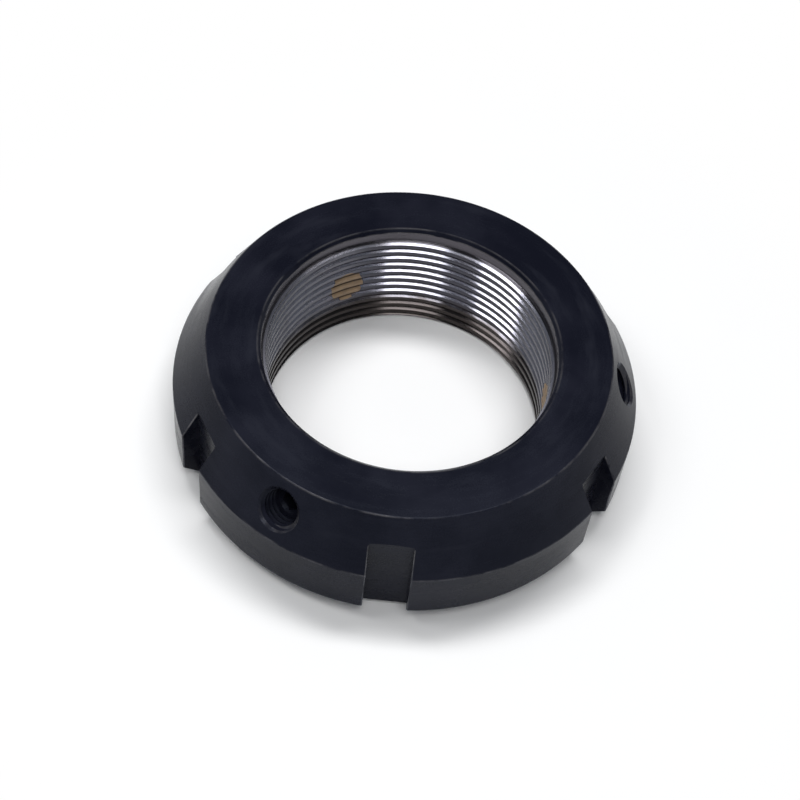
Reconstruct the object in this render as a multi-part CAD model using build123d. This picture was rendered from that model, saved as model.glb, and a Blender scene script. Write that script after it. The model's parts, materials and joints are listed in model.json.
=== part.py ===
from build123d import *
import os
from math import cos, radians, sin, sqrt, tan

# Precision bearing lock nut for a 55 mm spindle with a 2 mm pitch thread.
# All lengths are in millimetres and all angles in degrees.
# The origin is the centre of the face that bears on the bearing, and +Z points to the outer face.

# Body
OUTER_D = 88.0
WIDTH = 26.0
BEVEL_WIDTH = 6.25
BEVEL_ANGLE = 30.0
REAR_CHAMFER = 4.5
EDGE_ROUND = 0.4

# Spindle thread
THREAD_D = 55.0
THREAD_PITCH = 2.0
THREAD_FLANK = 30.0
RELIEF_CLEARANCE = 0.05
RELIEF_DEPTH = 2.7
RIM_CHAMFER = 0.7
REAR_BORE_CHAMFER = 1.3

# Hook spanner slots
SLOT_COUNT = 6
SLOT_WIDTH = 8.0
SLOT_DEPTH = 3.5
SLOT_ANGLE = 30.0

# Locking stations, each a soft pin pushed onto the spindle by a grub screw
STATION_COUNT = 3
STATION_ANGLE = 0.0
STATION_DROP = 5.4
PIN_TILT = 30.0
PIN_D = 6.8
PIN_CLEARANCE = 0.03
PIN_LENGTH = 5.5
PIN_CHAMFER = 0.5

# Grub screws
SCREW_D = 8.0
SCREW_LENGTH = 6.0
SCREW_CLEARANCE = 0.02
SCREW_CHAMFER = 0.9
SOCKET_FLATS = 4.0
SOCKET_DEPTH = 3.5
SOCKET_CHAMFER = 0.35
MOUTH_CHAMFER = 0.4

# The height of the thread's profile, cut flat to the nut's minor diameter
THREAD_HEIGHT = 5 / 8 * sqrt(3) / 2 * THREAD_PITCH

outer_r = OUTER_D / 2
face_r = outer_r - BEVEL_WIDTH
thread_r = THREAD_D / 2 - THREAD_HEIGHT
relief_r = THREAD_D / 2 + RELIEF_CLEARANCE
bevel_drop = BEVEL_WIDTH / tan(radians(BEVEL_ANGLE))

# Where a station's axis meets the bevel, and how long it is from there to the thread
mouth_r = face_r + STATION_DROP * tan(radians(BEVEL_ANGLE))
mouth_z = WIDTH - STATION_DROP
station_length = (mouth_r - thread_r) / cos(radians(PIN_TILT))

# How deep below the bevel the screw meets the pin, and how deep its outer end then lies
seat_depth = station_length - PIN_LENGTH
screw_depth = seat_depth - SCREW_LENGTH


def ring_profile():
    """Half of the body's section, to the right of its axis."""
    shoulder_z = WIDTH - RELIEF_DEPTH
    rear_bore_r = thread_r + REAR_BORE_CHAMFER
    outline = Polyline(
        (thread_r, REAR_BORE_CHAMFER),
        (rear_bore_r, 0),
        (outer_r - REAR_CHAMFER, 0),
        (outer_r, REAR_CHAMFER),
        (outer_r, WIDTH - bevel_drop),
        (face_r, WIDTH),
        (relief_r + RIM_CHAMFER, WIDTH),
        (relief_r, WIDTH - RIM_CHAMFER),
        (relief_r, shoulder_z),
        (thread_r, shoulder_z - (relief_r - thread_r) * tan(radians(THREAD_FLANK))),
        close=True,
    )
    section = make_face(outline)
    outer_corners = section.vertices().filter_by(lambda v: v.X > (relief_r + RIM_CHAMFER + face_r) / 2)
    return Plane.XZ * fillet(outer_corners, EDGE_ROUND)


def slot_cutter(angle):
    """A straight slot through the rim, with a flat floor."""
    floor_r = outer_r - SLOT_DEPTH
    cutter = Box(2 * SLOT_DEPTH, SLOT_WIDTH, 3 * WIDTH, align=(Align.MIN, Align.CENTER, Align.CENTER))
    return Rot(Z=angle) * Pos(X=floor_r) * cutter


def station_frame(angle):
    """The frame of one locking station: its origin on the bevel and its Z along the axis, outward."""
    return Rot(Z=angle) * Pos(X=mouth_r, Z=mouth_z) * Rot(Y=90 - PIN_TILT)


def station_angles():
    return [STATION_ANGLE + 360 / STATION_COUNT * i for i in range(STATION_COUNT)]


def station_cutter(angle):
    """The stepped hole of one station: plain for the pin, wider for the screw."""
    pin_hole_r = PIN_D / 2 + PIN_CLEARANCE
    screw_hole_r = SCREW_D / 2 + SCREW_CLEARANCE
    pin_hole = Pos(Z=-screw_depth) * Cylinder(
        pin_hole_r, station_length + thread_r / 2, align=(Align.CENTER, Align.CENTER, Align.MAX)
    )
    screw_hole = Pos(Z=-seat_depth) * Cylinder(
        screw_hole_r, seat_depth + thread_r, align=(Align.CENTER, Align.CENTER, Align.MIN)
    )
    mouth = Pos(Z=-MOUTH_CHAMFER) * Cone(
        screw_hole_r, screw_hole_r + 2 * MOUTH_CHAMFER, 2 * MOUTH_CHAMFER,
        align=(Align.CENTER, Align.CENTER, Align.MIN),
    )
    return station_frame(angle) * (pin_hole + screw_hole + mouth)


def make_body():
    body = revolve(ring_profile(), Axis.Z)
    for i in range(SLOT_COUNT):
        body -= slot_cutter(SLOT_ANGLE + 360 / SLOT_COUNT * i)
    for angle in station_angles():
        body -= station_cutter(angle)
    return body


def make_pin(angle):
    """A round pin whose inner end is cut to the bore, where it shares the spindle's thread."""
    blank_length = PIN_LENGTH + PIN_D
    blank = Cylinder(PIN_D / 2, blank_length, align=(Align.CENTER, Align.CENTER, Align.MAX))
    blank = chamfer(blank.edges().group_by(Axis.Z)[-1], PIN_CHAMFER)
    pin = station_frame(angle) * Pos(Z=-seat_depth) * blank
    return pin - Cylinder(thread_r, 3 * WIDTH)


def make_screw(angle):
    """A set screw with a flat point and a hexagon socket."""
    blank = Cylinder(SCREW_D / 2, SCREW_LENGTH, align=(Align.CENTER, Align.CENTER, Align.MAX))
    blank = chamfer(blank.edges().group_by(Axis.Z)[0], SCREW_CHAMFER)
    blank = chamfer(blank.edges().group_by(Axis.Z)[-1], SCREW_CHAMFER / 2)
    corner_r = SOCKET_FLATS / sqrt(3)
    socket = extrude(RegularPolygon(corner_r, 6), -SOCKET_DEPTH)
    lead_in = Pos(Z=-SOCKET_CHAMFER) * Cone(
        corner_r, corner_r + SOCKET_CHAMFER, SOCKET_CHAMFER, align=(Align.CENTER, Align.CENTER, Align.MIN)
    )
    return station_frame(angle) * Pos(Z=-screw_depth) * (blank - socket - lead_in)


def main():
    os.makedirs("parts", exist_ok=True)
    export_step(make_body(), "parts/nut_body.step")
    for number, angle in enumerate(station_angles(), 1):
        export_step(make_pin(angle), f"parts/locking_pin_{number}.step")
        export_step(make_screw(angle), f"parts/grub_screw_{number}.step")


main()
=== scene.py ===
import json
from collections import namedtuple
from math import atan2, ceil, cos, degrees, hypot, pi, radians, sin, sqrt, tan

import bmesh
import bpy
from mathutils import Matrix, Quaternion, Vector

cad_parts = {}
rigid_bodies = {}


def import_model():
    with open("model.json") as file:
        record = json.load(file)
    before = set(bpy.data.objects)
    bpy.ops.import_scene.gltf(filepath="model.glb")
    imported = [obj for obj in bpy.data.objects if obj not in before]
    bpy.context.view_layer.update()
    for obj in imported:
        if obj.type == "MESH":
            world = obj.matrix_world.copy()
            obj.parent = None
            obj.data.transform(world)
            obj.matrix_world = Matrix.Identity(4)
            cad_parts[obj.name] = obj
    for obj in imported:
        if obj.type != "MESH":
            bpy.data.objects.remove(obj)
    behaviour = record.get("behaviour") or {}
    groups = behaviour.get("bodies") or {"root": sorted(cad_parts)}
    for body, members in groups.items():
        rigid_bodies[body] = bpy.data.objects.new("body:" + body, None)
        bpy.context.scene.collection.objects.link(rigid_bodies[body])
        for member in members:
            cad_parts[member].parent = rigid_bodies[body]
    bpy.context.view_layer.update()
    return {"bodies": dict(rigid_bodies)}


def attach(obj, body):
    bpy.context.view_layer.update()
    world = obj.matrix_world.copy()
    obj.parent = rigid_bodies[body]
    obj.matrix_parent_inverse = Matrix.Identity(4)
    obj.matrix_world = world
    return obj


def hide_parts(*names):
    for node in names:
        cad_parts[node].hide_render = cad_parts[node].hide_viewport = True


# A bearing lock nut seen from above at an angle, on a plain pale floor.
# Lengths are in millimetres and angles in degrees, unless a name or a comment says otherwise.
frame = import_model()

MM = 0.001

# Sizes repeated from the part's source
OUTER_D = 88.0
WIDTH = 26.0
BEVEL_WIDTH = 6.25
BEVEL_ANGLE = 30.0
REAR_CHAMFER = 4.5
EDGE_ROUND = 0.4
THREAD_D = 55.0
THREAD_PITCH = 2.0
THREAD_FLANK = 30.0
RELIEF_CLEARANCE = 0.05
RELIEF_DEPTH = 2.7
RIM_CHAMFER = 0.7
REAR_BORE_CHAMFER = 1.3
SLOT_COUNT = 6
SLOT_WIDTH = 8.0
SLOT_DEPTH = 3.5
SLOT_ANGLE = 30.0
STATION_COUNT = 3
STATION_ANGLE = 0.0
STATION_DROP = 5.4
PIN_TILT = 30.0
PIN_D = 6.8
PIN_CLEARANCE = 0.03
PIN_LENGTH = 5.5
PIN_CHAMFER = 0.5
SCREW_D = 8.0
SCREW_LENGTH = 6.0
SCREW_CLEARANCE = 0.02
SCREW_CHAMFER = 0.9
SOCKET_FLATS = 4.0
SOCKET_DEPTH = 3.5
SOCKET_CHAMFER = 0.35
MOUTH_CHAMFER = 0.4

# The height of the thread's profile, cut flat to the nut's minor diameter
THREAD_HEIGHT = 5 / 8 * sqrt(3) / 2 * THREAD_PITCH

outer_r = OUTER_D / 2
face_r = outer_r - BEVEL_WIDTH
thread_r = THREAD_D / 2 - THREAD_HEIGHT
relief_r = THREAD_D / 2 + RELIEF_CLEARANCE
rear_bore_r = thread_r + REAR_BORE_CHAMFER
bevel_drop = BEVEL_WIDTH / tan(radians(BEVEL_ANGLE))
shoulder_z = WIDTH - RELIEF_DEPTH
slot_floor_r = outer_r - SLOT_DEPTH
slot_step = 360 / SLOT_COUNT

# Where a station's axis meets the bevel, how long it is from there to the thread, and how deep below the
# bevel the screw meets the pin and the screw's outer end lies
mouth_r = face_r + STATION_DROP * tan(radians(BEVEL_ANGLE))
mouth_z = WIDTH - STATION_DROP
station_length = (mouth_r - thread_r) / cos(radians(PIN_TILT))
seat_depth = station_length - PIN_LENGTH
screw_depth = seat_depth - SCREW_LENGTH
screw_hole_r = SCREW_D / 2 + SCREW_CLEARANCE

# The bore's thread, which only the visible meshes have: its crests, its roots, and the height of the middle
# of a crest at azimuth 0
CREST_R = 26.7
ROOT_R = THREAD_D / 2
ROOT_FLAT = THREAD_PITCH / 8
THREAD_PHASE = 1.70

# The threads of the screws and of their holes
SCREW_PITCH = 1.25
SCREW_CORE_R = 3.25
SCREW_CREST_FLAT = SCREW_PITCH / 8
TAPPED_R = 3.4
TAPPED_ROOT_FLAT = 0.16

# Small edges, and how much longer than wide the chamfer at a screw's outer end is
FINE_ROUND = 0.08
DEBURR = 0.22
SCREW_END_EXTRA = 0.1

# How finely round forms are divided, how many turns a thread has past its end before it is capped, the turn
# between two faces that stays a hard edge, and the gap that counts as none
TURN_STEPS = 256
HOLE_STEPS = 96
SOCKET_STEPS = 48
ROUND_STEPS = 4
SPARE_TURNS = 2
SHARP_ANGLE = 28.0
MERGE = 1e-6

# How far the cutting tools reach past what they cut, and how much narrower the bore is before it is threaded
SPINDLE_SPARE = 3 * THREAD_PITCH
SLOT_SPARE = 5.0
DEBURR_REACH = 3.0
PIN_HOLE_SPARE = 8.0
TAP_SPARE = 6.0
SCREW_SPARE = 1.0
LEAD_SPARE = 0.5
BLANK_SPARE = 0.8

# The body's material slots, and how its faces are told apart: how near a face's centre lies to what it
# belongs to, how far below the shoulder the band above the thread may reach, how far a mouth's chamfer
# reaches along its station, and the cosines that a slanted face makes
BLACK, BARE, GROUND, WORN, RUBBED = range(5)
NEAR = 0.02
BAND_REACH = 1.0
MOUTH_REACH = 1.5
MOUTH_SLANT = (0.6, 0.8)
DEBURR_SLANT = (0.5, 0.85)

# Ring edges where the black is rubbed, as (radius, height), with how far the wear reaches and its share
WORN_RINGS = (
    ((relief_r, WIDTH - RIM_CHAMFER), 0.22, 1.0),
    ((relief_r + RIM_CHAMFER, WIDTH), 0.3, 0.25),
    ((face_r, WIDTH), 0.3, 0.35),
    ((outer_r, WIDTH - bevel_drop), 0.3, 0.3),
    ((outer_r, REAR_CHAMFER), 0.3, 0.6),
    ((outer_r - REAR_CHAMFER, 0), 0.3, 1.0),
)

# Colours of the black, from its darkest places to where it is rubbed down to the steel
DEEP_BLACK = (0.0052, 0.0058, 0.0112, 1)
BLUE_BLACK = (0.0112, 0.0120, 0.0198, 1)
GREY_SMEAR = (0.0155, 0.0165, 0.0250, 1)
RUBBED_STEEL = (0.17, 0.165, 0.17, 1)
BLACK_GLOSS = (0.72, 0.82, 1.0, 1)

# Colours of the bare steel, and what is left of them under brown oil and in tool marks
THREAD_STEEL = (0.49, 0.49, 0.57, 1)
GROUND_STEEL = (0.55, 0.55, 0.56, 1)
BROWN_SHARE = (0.72, 0.62, 0.53, 1)
MARK_SHARE = (0.62, 0.62, 0.62, 1)

# Colours of the bore's grime, of the painted shade on its back crests and in its roots and of its darkening
# low down, the azimuth where the crests' painted shade is darkest, the heights below which that darkening
# begins and is full, and how far they vary
CREST_OIL = (0.100, 0.100, 0.118, 1)
# Painted shade on the crests at the back of the bore
BACK_CREST_SHADE = (0.034, 0.034, 0.044, 1)
# Painted shade deep in the thread's roots
ROOT_SHADE = (0.012, 0.011, 0.012, 1)
SHOULDER_OIL = (0.15, 0.145, 0.16, 1)
BAND_OIL = (0.085, 0.080, 0.092, 1)
# Darker towards the bottom of the bore
BORE_LOW_DARK = (0.052, 0.044, 0.041, 1)
SHADED_CREST_AZIMUTH = 75.0
BORE_LOW_DARK_BEGINS = 11.6
BORE_LOW_DARK_FULL = 7.6
BORE_LOW_DARK_RAGGED = 4.0

# Colours of the pins' bronze, and of the painted shade in its thread's roots
CLEAN_BRONZE = (0.345, 0.237, 0.143, 1)
TARNISHED_BRONZE = (0.26, 0.182, 0.113, 1)
BRONZE_ROOT_SHADE = (0.035, 0.025, 0.019, 1)

# The floor: its half width, its colours, and the radii where its own shade ends and where it is pure white
FLOOR_REACH = 6000.0
FLOOR_DARK = (0.90, 0.90, 0.90, 1)
FLOOR_LIGHT = (0.93, 0.93, 0.93, 1)
SHADE_END = 52.0
WHITE_START = 115.0

# The room's light, and the sines of the heights above the horizon between which the floor's white fades out
ROOM_COLOR = (0.86, 0.92, 1.0, 1)
ROOM_LEVEL = 0.14
WHITE_TOP = 0.37
WHITE_FULL = 0.24

# The lamps: their place and size in metres, their watts, and how far each is twisted about its beam
LAMPS = (
    ("front_lamp", (0.05, -0.36, 0.74), (0.33, 0.32), 2.2, 0),
    ("side_lamp", (-0.41, -0.075, 0.74), (0.28, 0.16), 1.2, 45),
    ("top_lamp", (0.0, 0.25, 0.95), (0.80, 0.20), 6.2, 0),
)

# The camera: its focal length in pixels of an 800 pixel picture, its height above the horizon, its roll and
# its turn about the nut's axis, where the centre of the outer face lies in the picture and how far away, and
# the distances in metres between which the lens sees
PICTURE = 800
SENSOR_MM = 36.0
FOCAL_PX = 1700.0
CAMERA_UP = 54.18
CAMERA_ROLL = 7.37
CAMERA_TURN = -1.7
CENTRE_PX = (410.82, 343.91)
CENTRE_DEPTH = 313.99
CLIP_NEAR = 0.01
CLIP_FAR = 50.0


def new_object(name, bm):
    """An object from a bmesh in millimetres, written in metres."""
    bmesh.ops.recalc_face_normals(bm, faces=bm.faces)
    bmesh.ops.scale(bm, vec=(MM, MM, MM), verts=bm.verts)
    mesh = bpy.data.meshes.new(name)
    bm.to_mesh(mesh)
    bm.free()
    obj = bpy.data.objects.new(name, mesh)
    bpy.context.scene.collection.objects.link(obj)
    return obj


def rounded(points, radii):
    """A closed outline with each corner rounded by its radius."""
    out = []
    for i, (x, y) in enumerate(points):
        radius = radii[i]
        if not radius:
            out.append((x, y))
            continue
        here = Vector((x, y))
        back = (Vector(points[i - 1]) - here).normalized()
        on = (Vector(points[(i + 1) % len(points)]) - here).normalized()
        half = back.angle(on) / 2
        centre = here + (back + on).normalized() * radius / sin(half)
        first = here + back * radius / tan(half)
        last = here + on * radius / tan(half)
        start = atan2(*(first - centre).yx)
        sweep = atan2(*(last - centre).yx) - start
        sweep = (sweep + pi) % (2 * pi) - pi
        for k in range(ROUND_STEPS + 1):
            a = start + sweep * k / ROUND_STEPS
            out.append((centre.x + radius * cos(a), centre.y + radius * sin(a)))
    return out


def lathe(outline, steps):
    """A ring swept round Z from a closed outline of (radius, height)."""
    bm = bmesh.new()
    rings = []
    for j in range(steps):
        a = 2 * pi * j / steps
        rings.append([bm.verts.new((r * cos(a), r * sin(a), z)) for r, z in outline])
    for j in range(steps):
        one = rings[j]
        two = rings[(j + 1) % steps]
        for i in range(len(outline)):
            k = (i + 1) % len(outline)
            bm.faces.new((one[i], two[i], two[k], one[k]))
    return bm


def turned(profile, steps):
    """A solid swept round Z from a line of (radius, height), flat at both ends."""
    bm = bmesh.new()
    rings = []
    angles = [2 * pi * j / steps for j in range(steps)]
    for r, z in profile:
        rings.append([bm.verts.new((r * cos(a), r * sin(a), z)) for a in angles])
    for one, two in zip(rings, rings[1:]):
        for j in range(steps):
            k = (j + 1) % steps
            bm.faces.new((one[j], one[k], two[k], two[j]))
    bm.faces.new(rings[0][::-1])
    bm.faces.new(rings[-1])
    return bm


def prism(corners, low, high):
    """A prism with the given (x, y) corners, from height low to height high."""
    bm = bmesh.new()
    bottom = [bm.verts.new((x, y, low)) for x, y in corners]
    top = [bm.verts.new((x, y, high)) for x, y in corners]
    for i in range(len(corners)):
        k = (i + 1) % len(corners)
        bm.faces.new((bottom[i], bottom[k], top[k], top[i]))
    bm.faces.new(bottom[::-1])
    bm.faces.new(top)
    return bm


def thread_profile(core_r, rod_r, pitch, rod_flat):
    """One pitch of a rod's 60 degree thread as (radius, height), from the middle of the flat at its core."""
    slope = tan(radians(THREAD_FLANK))
    rise = (rod_r - core_r) * slope
    core_flat = pitch - rod_flat - 2 * rise
    edge = min(FINE_ROUND, core_flat / 4)
    step = edge * slope
    return [
        (core_r, core_flat / 2 - edge),
        (core_r + step, core_flat / 2 + step * slope),
        (rod_r, core_flat / 2 + rise),
        (rod_r, pitch - core_flat / 2 - rise),
        (core_r + step, pitch - core_flat / 2 - step * slope),
        (core_r, pitch - core_flat / 2 + edge),
    ]


def threaded_rod(core_r, rod_r, pitch, rod_flat, low, high, steps, phase=0.0):
    """A right-handed threaded rod round Z, flat at both ends."""
    profile = thread_profile(core_r, rod_r, pitch, rod_flat)
    turns = ceil((high - low) / pitch) + SPARE_TURNS + 1
    start = low - SPARE_TURNS * pitch + phase % pitch
    rows = [(r, start + turn * pitch + z) for turn in range(turns + 1) for r, z in profile]
    bm = bmesh.new()
    grid = []
    for j in range(steps):
        a = 2 * pi * j / steps
        lift = pitch * j / steps
        grid.append([bm.verts.new((r * cos(a), r * sin(a), z + lift)) for r, z in rows])
    for j in range(steps):
        # At the seam, the last column meets the first one a turn higher up
        shift = len(profile) if j == steps - 1 else 0
        one = grid[j]
        two = grid[(j + 1) % steps]
        for i in range(len(rows) - 1 - shift):
            bm.faces.new((one[i], two[i + shift], two[i + shift + 1], one[i + 1]))
    return capped(bm, low, high)


def capped(bm, low, high):
    """Cuts a tube flat at two heights and closes it there."""
    for height, side in ((low, -1), (high, 1)):
        geometry = bm.verts[:] + bm.edges[:] + bm.faces[:]
        bmesh.ops.bisect_plane(
            bm, geom=geometry, dist=MERGE, plane_co=(0, 0, height), plane_no=(0, 0, side), clear_outer=True
        )
    open_edges = [e for e in bm.edges if len(e.link_faces) == 1]
    bmesh.ops.holes_fill(bm, edges=open_edges, sides=0)
    bmesh.ops.remove_doubles(bm, verts=bm.verts, dist=MERGE)
    return bm


def apply_modifiers(obj):
    """Writes an object's modifiers into its mesh."""
    bpy.context.view_layer.update()
    made = bpy.data.meshes.new_from_object(obj.evaluated_get(bpy.context.evaluated_depsgraph_get()))
    old = obj.data
    obj.modifiers.clear()
    obj.data = made
    bpy.data.meshes.remove(old)
    made.name = obj.name


def cut(obj, tool_mesh, matrix=None, operation="DIFFERENCE"):
    """Cuts an object with a solid, a bmesh in millimetres that the matrix moves to its place."""
    if matrix is not None:
        tool_mesh.transform(matrix)
    tool = new_object("tool", tool_mesh)
    modifier = obj.modifiers.new("cut", "BOOLEAN")
    modifier.operation = operation
    modifier.object = tool
    modifier.solver = "MANIFOLD"
    apply_modifiers(obj)
    used = tool.data
    bpy.data.objects.remove(tool)
    bpy.data.meshes.remove(used)


def turn_z(angle):
    """A turn about the nut's axis."""
    return Matrix.Rotation(radians(angle), 4, "Z")


def station_matrix(angle):
    """The frame of one locking station: its origin on the bevel and its Z along the axis, outward."""
    tilt = Matrix.Rotation(radians(90 - PIN_TILT), 4, "Y")
    return turn_z(angle) @ Matrix.Translation((mouth_r, 0, mouth_z)) @ tilt


def station_angles():
    return [STATION_ANGLE + 360 / STATION_COUNT * i for i in range(STATION_COUNT)]


# For each station, the matrix from the nut's frame into its own, and its outward axis
mouths = [(m.inverted(), m.to_3x3().col[2].copy()) for m in map(station_matrix, station_angles())]


def body_outline():
    """Half of the body's section, its bore still narrower than the thread's crests."""
    blank_r = thread_r - BLANK_SPARE
    shoulder = (relief_r - blank_r) * tan(radians(THREAD_FLANK))
    points = [
        (blank_r, REAR_BORE_CHAMFER + thread_r - blank_r),
        (rear_bore_r, 0),
        (outer_r - REAR_CHAMFER, 0),
        (outer_r, REAR_CHAMFER),
        (outer_r, WIDTH - bevel_drop),
        (face_r, WIDTH),
        (relief_r + RIM_CHAMFER, WIDTH),
        (relief_r, WIDTH - RIM_CHAMFER),
        (relief_r, shoulder_z),
        (blank_r, shoulder_z - shoulder),
    ]
    radii = [0, FINE_ROUND] + [EDGE_ROUND] * 4 + [FINE_ROUND, FINE_ROUND, 0, 0]
    return rounded(points, radii)


def deburr_tool(point, along, outward, high):
    """A wedge along a slot's two edges, which leaves a small chamfer on each, and its place."""
    along = Vector(along).normalized()
    outward = Vector(outward).normalized()
    half = SLOT_WIDTH / 2
    corners = [
        (-DEBURR, -half),
        (DEBURR_REACH, -half - DEBURR - DEBURR_REACH),
        (DEBURR_REACH, half + DEBURR + DEBURR_REACH),
        (-DEBURR, half),
    ]
    axes = Matrix((outward, along.cross(outward), along)).transposed().to_4x4()
    return prism(corners, -2 * WIDTH, high), Matrix.Translation(point) @ axes


def cut_slots(body):
    """Straight slots through the rim, with flat floors and deburred edges."""
    half = SLOT_WIDTH / 2
    past_r = outer_r + SLOT_SPARE
    corners = [(slot_floor_r, -half), (past_r, -half), (past_r, half), (slot_floor_r, half)]
    wall_r = sqrt(outer_r**2 - half**2)
    across = sin(radians(BEVEL_ANGLE))
    down = cos(radians(BEVEL_ANGLE))
    run_out = (wall_r - slot_floor_r - DEBURR * down) / across
    edges = [
        ((wall_r, 0, WIDTH / 2), (0, 0, 1), (1, 0, 0), 2 * WIDTH),
        ((wall_r, 0, WIDTH - bevel_drop), (-across, 0, down), (down, 0, across), run_out),
        ((wall_r, 0, REAR_CHAMFER), (1, 0, 1), (1, 0, -1), 2 * WIDTH),
    ]
    for i in range(SLOT_COUNT):
        turn = turn_z(SLOT_ANGLE + slot_step * i)
        cut(body, prism(corners, -WIDTH, 2 * WIDTH), turn)
        for edge in edges:
            wedge, place = deburr_tool(*edge)
            cut(body, wedge, turn @ place)


def cut_stations(body):
    """The stepped hole of each station: plain for the pin, tapped for the screw."""
    pin_hole_r = PIN_D / 2 + PIN_CLEARANCE
    seat = -seat_depth
    reach = mouth_r / 2
    profile = [
        (pin_hole_r, -station_length - PIN_HOLE_SPARE),
        (pin_hole_r, seat),
        (TAPPED_R, seat),
        (TAPPED_R, TAPPED_R - screw_hole_r - MOUTH_CHAMFER),
        (screw_hole_r + reach, reach - MOUTH_CHAMFER),
    ]
    for angle in station_angles():
        station = station_matrix(angle)
        cut(body, turned(profile, HOLE_STEPS), station)
        tap = threaded_rod(
            TAPPED_R, screw_hole_r, SCREW_PITCH, TAPPED_ROOT_FLAT, low=seat, high=TAP_SPARE, steps=HOLE_STEPS
        )
        cut(body, tap, station)


def spindle():
    """The spindle's thread, which cuts the body and the pins alike."""
    return threaded_rod(
        CREST_R, ROOT_R, THREAD_PITCH, ROOT_FLAT,
        low=-SPINDLE_SPARE, high=WIDTH + SPINDLE_SPARE, steps=TURN_STEPS, phase=THREAD_PHASE,
    )


def make_body():
    body = new_object("lock_nut_body", lathe(body_outline(), TURN_STEPS))
    cut_slots(body)
    cut_stations(body)
    cut(body, spindle())
    return body


def make_pin(number, angle):
    """A round pin whose inner end carries the same thread as the bore."""
    seat = -seat_depth
    profile = [
        (PIN_D / 2, seat - PIN_LENGTH - PIN_D),
        (PIN_D / 2, seat - PIN_CHAMFER),
        (PIN_D / 2 - PIN_CHAMFER, seat),
    ]
    bm = turned(profile, HOLE_STEPS)
    bm.transform(station_matrix(angle))
    pin = new_object(f"locking_pin_tip_{number}", bm)
    cut(pin, spindle())
    return pin


def make_screw(number, angle):
    """A set screw with a flat point, a thread and a hexagon socket."""
    radius = SCREW_D / 2
    top = -screw_depth
    bottom = top - SCREW_LENGTH
    profile = [
        (radius - SCREW_CHAMFER, bottom),
        (radius, bottom + SCREW_CHAMFER),
        (radius, top - SCREW_CHAMFER / 2 - SCREW_END_EXTRA),
        (radius - SCREW_CHAMFER / 2, top),
    ]
    screw = new_object(f"set_screw_{number}", turned(profile, HOLE_STEPS))
    rod = threaded_rod(
        SCREW_CORE_R, radius, SCREW_PITCH, SCREW_CREST_FLAT,
        low=bottom - SCREW_SPARE, high=top + SCREW_SPARE, steps=HOLE_STEPS,
    )
    cut(screw, rod, operation="INTERSECT")
    corner_r = SOCKET_FLATS / sqrt(3)
    corners = [(corner_r * cos(pi * k / 3), corner_r * sin(pi * k / 3)) for k in range(6)]
    cut(screw, prism(corners, top - SOCKET_DEPTH, top + SCREW_SPARE))
    lead_z = top - SOCKET_CHAMFER
    lead_in = [(corner_r - LEAD_SPARE, lead_z - LEAD_SPARE), (corner_r + SCREW_SPARE, lead_z + SCREW_SPARE)]
    cut(screw, turned(lead_in, SOCKET_STEPS))
    screw.data.transform(Matrix.Scale(MM, 4) @ station_matrix(angle) @ Matrix.Scale(1 / MM, 4))
    return screw


def drop_crumbs(bm):
    """Deletes the loose crumbs that the cuts leave and keeps the largest connected mesh."""
    islands = []
    left = set(bm.verts)
    while left:
        island = {left.pop()}
        front = list(island)
        while front:
            for edge in front.pop().link_edges:
                for vert in edge.verts:
                    if vert in left:
                        left.discard(vert)
                        island.add(vert)
                        front.append(vert)
        islands.append(island)
    islands.sort(key=len)
    for island in islands[:-1]:
        bmesh.ops.delete(bm, geom=list(island), context="VERTS")


def finish_mesh(obj):
    """Smooth shading, with hard edges at each sharp turn and wherever the material changes."""
    bm = bmesh.new()
    bm.from_mesh(obj.data)
    drop_crumbs(bm)
    for face in bm.faces:
        face.smooth = True
    for edge in bm.edges:
        kinds = {face.material_index for face in edge.link_faces}
        edge.smooth = len(kinds) == 1 and edge.calc_face_angle(0) < radians(SHARP_ANGLE)
    bm.to_mesh(obj.data)
    bm.free()
    modifier = obj.modifiers.new("normals", "WEIGHTED_NORMAL")
    modifier.mode = "FACE_AREA"
    modifier.keep_sharp = True
    apply_modifiers(obj)


# A shaded point: its place in millimetres as a vector, and as radius, angle and height about the nut's axis
Place = namedtuple("Place", "point radius angle z")


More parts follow.
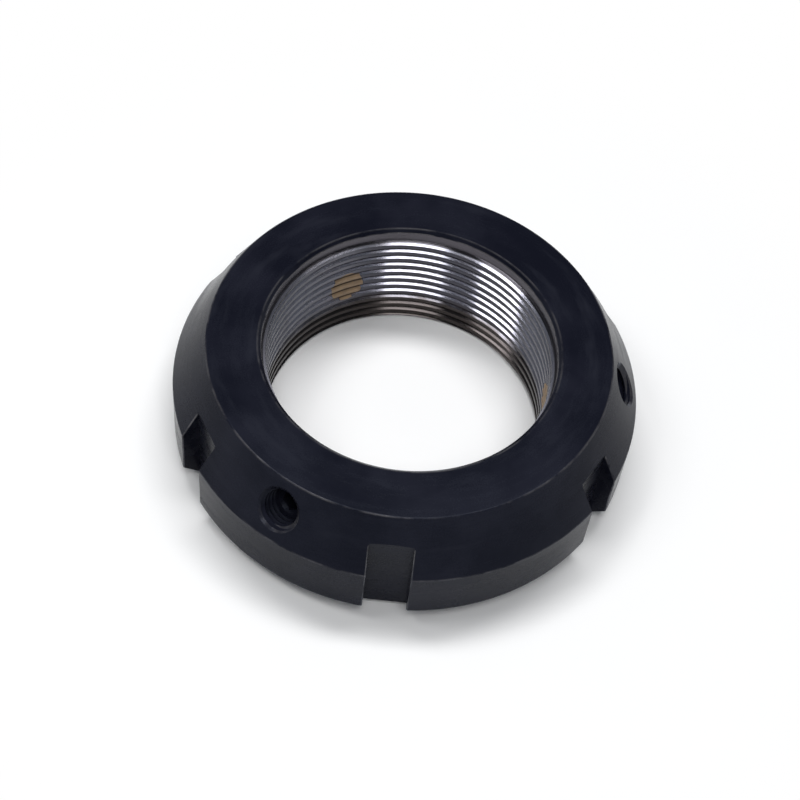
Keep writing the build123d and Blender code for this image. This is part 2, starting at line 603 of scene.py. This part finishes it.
class Nodes:
    """A short way to build the nodes of a material or of the world."""

    # The colour sockets of a Mix node
    MIX_ONE = 6
    MIX_TWO = 7
    MIX_RESULT = 2

    def __init__(self, owner):
        owner.use_nodes = True
        self.owner = owner
        self.tree = owner.node_tree

    def add(self, kind, inputs=None, **settings):
        node = self.tree.nodes.new(kind)
        for key, value in settings.items():
            setattr(node, key, value)
        for key, value in (inputs or {}).items():
            self.feed(node.inputs[key], value)
        return node

    def feed(self, socket, value):
        """Links a socket to another, or sets it to a plain value."""
        if isinstance(value, bpy.types.NodeSocket):
            self.tree.links.new(value, socket)
        else:
            socket.default_value = value

    def math(self, operation, a, b=None, clamp=False):
        given = {i: v for i, v in enumerate((a, b)) if v is not None}
        return self.add("ShaderNodeMath", given, operation=operation, use_clamp=clamp).outputs[0]

    def ramp(self, value, low, high, to_low=0.0, to_high=1.0):
        """A value eased from to_low, where it is low, to to_high, where it is high."""
        node = self.add(
            "ShaderNodeMapRange",
            {"Value": value, "From Min": low, "From Max": high, "To Min": to_low, "To Max": to_high},
            interpolation_type="SMOOTHSTEP",
        )
        return node.outputs[0]

    def mix(self, share, one, two):
        """A share of the second colour over the first."""
        node = self.add("ShaderNodeMix", {"Factor": share}, data_type="RGBA")
        self.feed(node.inputs[self.MIX_ONE], one)
        self.feed(node.inputs[self.MIX_TWO], two)
        return node.outputs[self.MIX_RESULT]

    def noise(self, vector, scale, detail=4.0, roughness=0.55):
        node = self.add(
            "ShaderNodeTexNoise",
            {"Vector": vector, "Scale": scale, "Detail": detail, "Roughness": roughness},
        )
        return node.outputs[0]

    def ring_noise(self, place, across, along, detail, roughness=0.55):
        """Noise stretched into rings round the axis, without a seam."""
        vector = self.add(
            "ShaderNodeCombineXYZ",
            {
                0: self.math("MULTIPLY", place.radius, across),
                1: self.math("MULTIPLY", self.math("COSINE", place.angle), along),
                2: self.math("MULTIPLY", place.z, across),
            },
        ).outputs[0]
        node = self.add(
            "ShaderNodeTexNoise",
            {
                "Vector": vector,
                "W": self.math("MULTIPLY", self.math("SINE", place.angle), along),
                "Scale": 1.0,
                "Detail": detail,
                "Roughness": roughness,
            },
            noise_dimensions="4D",
        )
        return node.outputs[0]

    def length(self, x, y):
        """The length of a vector with two parts."""
        squares = self.math("ADD", self.math("MULTIPLY", x, x), self.math("MULTIPLY", y, y))
        return self.math("SQRT", squares)

    def place(self):
        """The object's own coordinates as a Place."""
        coords = self.add("ShaderNodeTexCoord").outputs["Object"]
        point = self.add("ShaderNodeVectorMath", {0: coords, 3: 1 / MM}, operation="SCALE").outputs[0]
        x, y, z = self.add("ShaderNodeSeparateXYZ", {0: point}).outputs
        return Place(point, self.length(x, y), self.math("ARCTAN2", y, x), z)

    def near(self, place, ring, reach):
        """1 within 0.3 of the reach from a ring edge at (radius, height), falling to 0 at the reach."""
        aside = self.math("SUBTRACT", place.radius, ring[0])
        above = self.math("SUBTRACT", place.z, ring[1])
        return self.ramp(self.length(aside, above), reach, 0.3 * reach)

    def bump(self, height, strength, distance, normal=None):
        inputs = {"Height": height, "Strength": strength, "Distance": distance * MM}
        if normal is not None:
            inputs["Normal"] = normal
        return self.add("ShaderNodeBump", inputs).outputs[0]

    def finish(self, **values):
        """Sets the surface's inputs and returns the material."""
        names = {
            "color": "Base Color",
            "rough": "Roughness",
            "metal": "Metallic",
            "normal": "Normal",
            "specular": "Specular IOR Level",
            "tint": "Specular Tint",
            "tangent": "Tangent",
            "grain": "Anisotropic",
            "grain_turn": "Anisotropic Rotation",
        }
        shader = self.tree.nodes["Principled BSDF"]
        for key, value in values.items():
            self.feed(shader.inputs[names[key]], value)
        return self.owner

    def white_backdrop(self, shader, output, share):
        """Plain white in a share of what the camera and mirrors see, and the given shader elsewhere."""
        path = self.add("ShaderNodeLightPath").outputs
        seen = self.math("MAXIMUM", path["Is Camera Ray"], path["Is Glossy Ray"])
        seen = self.math("MAXIMUM", seen, path["Is Transmission Ray"])
        kind = "ShaderNodeBackground" if output == "World Output" else "ShaderNodeEmission"
        white = self.add(kind, {"Color": (1, 1, 1, 1), "Strength": 1.0}).outputs[0]
        share = self.math("MULTIPLY", seen, share)
        mixed = self.add("ShaderNodeMixShader", {0: share, 1: shader, 2: white}).outputs[0]
        self.tree.links.new(mixed, self.tree.nodes[output].inputs["Surface"])


def black_oxide(name, worn=0.0):
    """Blackened steel under a thin coat of oil, rubbed through on its ring edges, and elsewhere if worn."""
    n = Nodes(bpy.data.materials.new(name))
    place = n.place()
    cloud = n.noise(place.point, scale=0.07, detail=5.0)
    smear = n.ring_noise(place, across=0.35, along=2.5, detail=6.0, roughness=0.6)
    grain = n.noise(place.point, scale=3.5, detail=3.0, roughness=0.7)
    lines = n.ring_noise(place, across=6.0, along=1.2, detail=2.0)
    patches = n.noise(place.point, scale=0.16, detail=6.0, roughness=0.6)
    color = n.mix(n.ramp(cloud, 0.35, 0.68), DEEP_BLACK, BLUE_BLACK)
    color = n.mix(n.ramp(smear, 0.52, 0.72, to_high=0.5), color, GREY_SMEAR)
    edges = worn
    for ring, reach, share in WORN_RINGS:
        edges = n.math("ADD", edges, n.math("MULTIPLY", n.near(place, ring, reach), share))
    wear = n.math("MULTIPLY", edges, n.ramp(patches, 0.38, 0.62), clamp=True)
    color = n.mix(wear, color, RUBBED_STEEL)
    rough = n.ramp(smear, 0.3, 0.75, to_low=0.19, to_high=0.34)
    rough = n.math("ADD", rough, n.ramp(grain, 0.3, 0.7, to_low=-0.03, to_high=0.05))
    normal = n.bump(grain, strength=0.10, distance=0.03)
    normal = n.bump(lines, strength=0.10, distance=0.02, normal=normal)
    return n.finish(
        color=color, rough=rough, metal=n.math("MULTIPLY", wear, 0.9), normal=normal,
        specular=0.08, tint=BLACK_GLOSS,
    )


def shaded(color, shares):
    """A colour with a share of each of its channels."""
    return tuple(channel * share for channel, share in zip(color, shares))


def thread_grime_and_shade(n, place, tint):
    """The bore's colour with its dark places: oily crests with painted shade on those at the back, painted
    shade in the roots, the band above the thread, and darker towards the bottom.
    """
    # Painted shade: the crests grow darker towards the back of the bore
    toward_shaded_crests = n.math("COSINE", n.math("SUBTRACT", place.angle, radians(SHADED_CREST_AZIMUTH)))
    crest_oil_and_shade = n.mix(n.ramp(toward_shaded_crests, 0.66, 0.84), CREST_OIL, BACK_CREST_SHADE)
    patches = n.noise(place.point, scale=0.25, detail=4.0)
    ragged_z = n.math("ADD", place.z, n.math("MULTIPLY", patches, BORE_LOW_DARK_RAGGED))
    # Each layer has a measure, where it begins and is full, its full share and its colour
    layers = (
        (place.radius, CREST_R + 0.10, CREST_R + 0.02, 0.95, crest_oil_and_shade),
        # Painted shade deep in the thread's roots
        (place.radius, ROOT_R - 0.34, ROOT_R - 0.22, 0.94, ROOT_SHADE),
        (place.z, shoulder_z - 0.60, shoulder_z - 0.45, 0.35, SHOULDER_OIL),
        (place.z, shoulder_z - 0.25, shoulder_z - 0.05, 0.90, BAND_OIL),
        # Darker towards the bottom of the bore
        (ragged_z, BORE_LOW_DARK_BEGINS, BORE_LOW_DARK_FULL, 0.97, BORE_LOW_DARK),
    )
    for measure, begins, full, share, color in layers:
        tint = n.mix(n.ramp(measure, begins, full, to_high=share), tint, color)
    return tint


def bare_steel(name, color, rough, across=9.0, marked=0.55, stain=0.35, threaded=False):
    """Machined steel with fine rings of tool marks and faint brown oil, and on the thread the bore's grime
    and painted shade.
    """
    n = Nodes(bpy.data.materials.new(name))
    place = n.place()
    marks = n.ring_noise(place, across, along=1.5, detail=3.0, roughness=0.6)
    fine = n.ring_noise(place, 2.5 * across, along=6.0, detail=2.0)
    oil = n.noise(place.point, scale=0.11, detail=4.0)
    tint = n.mix(n.ramp(marks, 0.35, 0.7, to_high=marked), color, shaded(color, MARK_SHARE))
    tint = n.mix(n.ramp(oil, 0.4, 0.7, to_high=stain), tint, shaded(color, BROWN_SHARE))
    if threaded:
        # Adds the bore's grime and its painted shade
        tint = thread_grime_and_shade(n, place, tint)
    rough = n.ramp(marks, 0.3, 0.7, to_low=rough - 0.06, to_high=rough + 0.07)
    rough = n.math("ADD", rough, n.ramp(oil, 0.4, 0.7, to_high=0.06))
    normal = n.bump(marks, strength=0.25 * marked, distance=0.02)
    normal = n.bump(fine, strength=0.11 * marked, distance=0.01, normal=normal)
    around = n.add("ShaderNodeTangent", direction_type="RADIAL", axis="Z").outputs[0]
    return n.finish(
        color=tint, rough=rough, metal=1.0, normal=normal, tangent=around, grain=0.8, grain_turn=0.25
    )


def bronze():
    """Machined bronze, a little dull, with fine tool marks and painted shade in the thread's roots."""
    n = Nodes(bpy.data.materials.new("bronze"))
    place = n.place()
    marks = n.ring_noise(place, across=8.0, along=2.0, detail=3.0, roughness=0.6)
    tarnish = n.noise(place.point, scale=0.6, detail=5.0)
    color = n.mix(n.ramp(tarnish, 0.35, 0.7), CLEAN_BRONZE, TARNISHED_BRONZE)
    # Painted shade deep in the thread's roots
    root = n.ramp(place.radius, ROOT_R - 0.48, ROOT_R - 0.34, to_high=0.9)
    color = n.mix(root, color, BRONZE_ROOT_SHADE)
    rough = n.ramp(marks, 0.3, 0.7, to_low=0.50, to_high=0.64)
    normal = n.bump(marks, strength=0.15, distance=0.02)
    return n.finish(color=color, rough=rough, metal=0.2, normal=normal)


def pale_floor():
    """A plain pale floor, which turns to pure white away from the nut and its shadow."""
    n = Nodes(bpy.data.materials.new("pale_floor"))
    place = n.place()
    color = n.mix(n.noise(place.point, scale=0.02, detail=3.0), FLOOR_DARK, FLOOR_LIGHT)
    shader = n.tree.nodes["Principled BSDF"].outputs[0]
    n.white_backdrop(shader, "Material Output", n.ramp(place.radius, SHADE_END, WHITE_START))
    return n.finish(color=color, rough=0.9, specular=0.1)


def assign(obj, materials, pick):
    """Gives an object its materials, each face the one that pick says."""
    obj.data.materials.clear()
    for material in materials:
        obj.data.materials.append(material)
    for face in obj.data.polygons:
        face.material_index = pick(face)


def on_mouth(face):
    """Whether a face lies on the 45 degree chamfer round one of the screw holes' mouths."""
    for into_station, outward in mouths:
        local = into_station @ (face.center / MM)
        if hypot(local.x, local.y) < SCREW_D / 2 + 2 * MOUTH_CHAMFER and abs(local.z) < MOUTH_REACH:
            return MOUTH_SLANT[0] < face.normal @ outward < MOUTH_SLANT[1]
    return False


def in_bore(r, z):
    """Whether a place lies on the thread, the band above it or the chamfer below it."""
    inside = r < relief_r + NEAR and z < WIDTH - RIM_CHAMFER + NEAR / 2
    in_pin_hole = r > ROOT_R + NEAR and z < shoulder_z - BAND_REACH
    return inside and not in_pin_hole


def on_slot_edge(face, r, angle):
    """Whether a face lies on the small chamfer along a slot's edge."""
    slot = SLOT_ANGLE + round((angle - SLOT_ANGLE) / slot_step) * slot_step
    aside = abs(r * sin(radians(angle - slot))) - SLOT_WIDTH / 2
    if not NEAR / 2 < aside < DEBURR or r <= slot_floor_r:
        return False
    across = Vector((-sin(radians(slot)), cos(radians(slot)), 0))
    return DEBURR_SLANT[0] < abs(face.normal @ across) < DEBURR_SLANT[1]


def body_material(face):
    """The material slot of one of the body's faces."""
    x, y, z = (c / MM for c in face.center)
    r = hypot(x, y)
    if on_mouth(face):
        return RUBBED
    if in_bore(r, z):
        return BARE
    if z < NEAR and r > rear_bore_r:
        return GROUND
    if on_slot_edge(face, r, degrees(atan2(y, x))):
        return WORN
    return BLACK


def make_floor():
    bm = bmesh.new()
    bmesh.ops.create_grid(bm, x_segments=2, y_segments=2, size=FLOOR_REACH)
    floor = new_object("floor", bm)
    floor.data.materials.append(pale_floor())


def make_camera():
    """A camera that has the centre of the outer face at its place in the picture."""
    up_angle = radians(CAMERA_UP)
    turn = Matrix.Rotation(radians(CAMERA_TURN), 3, "Z")
    forward = turn @ Vector((0, cos(up_angle), -sin(up_angle)))
    level = turn @ Vector((1, 0, 0))
    above = level.cross(forward)
    roll = radians(CAMERA_ROLL)
    right = level * cos(roll) + above * sin(roll)
    up = above * cos(roll) - level * sin(roll)
    aside = (CENTRE_PX[0] - PICTURE / 2) / FOCAL_PX * CENTRE_DEPTH
    rise = -(CENTRE_PX[1] - PICTURE / 2) / FOCAL_PX * CENTRE_DEPTH
    where = Vector((0, 0, WIDTH)) - right * aside - up * rise - forward * CENTRE_DEPTH
    data = bpy.data.cameras.new("camera")
    data.sensor_fit = "HORIZONTAL"
    data.sensor_width = SENSOR_MM
    data.lens = SENSOR_MM * FOCAL_PX / PICTURE
    data.clip_start = CLIP_NEAR
    data.clip_end = CLIP_FAR
    camera = bpy.data.objects.new("camera", data)
    basis = Matrix((right, up, -forward)).transposed().to_4x4()
    camera.matrix_world = Matrix.Translation(where * MM) @ basis
    bpy.context.scene.collection.objects.link(camera)
    bpy.context.scene.camera = camera


def area_light(name, where, size, watts, twist):
    """A soft rectangular lamp at a place in metres, aimed at the middle of the nut."""
    data = bpy.data.lights.new(name, "AREA")
    data.shape = "RECTANGLE"
    data.size = size[0]
    data.size_y = size[1]
    data.energy = watts
    light = bpy.data.objects.new(name, data)
    light.location = where
    light.rotation_mode = "QUATERNION"
    aim = Vector((0, 0, WIDTH / 2 * MM))
    facing = (aim - Vector(where)).to_track_quat("-Z", "Y")
    light.rotation_quaternion = facing @ Quaternion((0, 0, 1), radians(twist))
    bpy.context.scene.collection.objects.link(light)


def make_world():
    """A dim cool room, in which the floor's white goes on a little above the horizon."""
    n = Nodes(bpy.data.worlds.new("room"))
    room = n.tree.nodes["Background"]
    n.feed(room.inputs["Color"], ROOM_COLOR)
    n.feed(room.inputs["Strength"], ROOM_LEVEL)
    direction = n.add("ShaderNodeTexCoord").outputs["Generated"]
    height = n.add("ShaderNodeSeparateXYZ", {0: direction}).outputs[2]
    n.white_backdrop(room.outputs[0], "World Output", n.ramp(height, WHITE_TOP, WHITE_FULL))
    bpy.context.scene.world = n.owner


body = make_body()
pins = [make_pin(n, a) for n, a in enumerate(station_angles(), 1)]
screws = [make_screw(n, a) for n, a in enumerate(station_angles(), 1)]

black = black_oxide("black_oxide")
worn = black_oxide("black_oxide_worn", worn=0.55)
rubbed = black_oxide("black_oxide_rubbed", worn=0.25)
bare = bare_steel("bare_thread", THREAD_STEEL, rough=0.19, marked=0.12, threaded=True)
ground = bare_steel("ground_face", GROUND_STEEL, rough=0.30, across=14.0, stain=0.15)
dull_bronze = bronze()

assign(body, [black, bare, ground, worn, rubbed], body_material)
for pin in pins:
    assign(pin, [dull_bronze], lambda face: 0)
for screw in screws:
    assign(screw, [black], lambda face: 0)
for piece in [body, *pins, *screws]:
    finish_mesh(piece)

for piece, node, slot in (
    [(body, "nut_body", "black_steel")]
    + [(p, f"locking_pin_{i}", "bronze") for i, p in enumerate(pins, 1)]
    + [(s, f"grub_screw_{i}", "screw_steel") for i, s in enumerate(screws, 1)]
):
    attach(piece, next(iter(frame["bodies"])))
    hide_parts(node)

make_floor()
make_camera()
make_world()
for lamp in LAMPS:
    area_light(*lamp)
bpy.context.scene.view_settings.view_transform = "Standard"
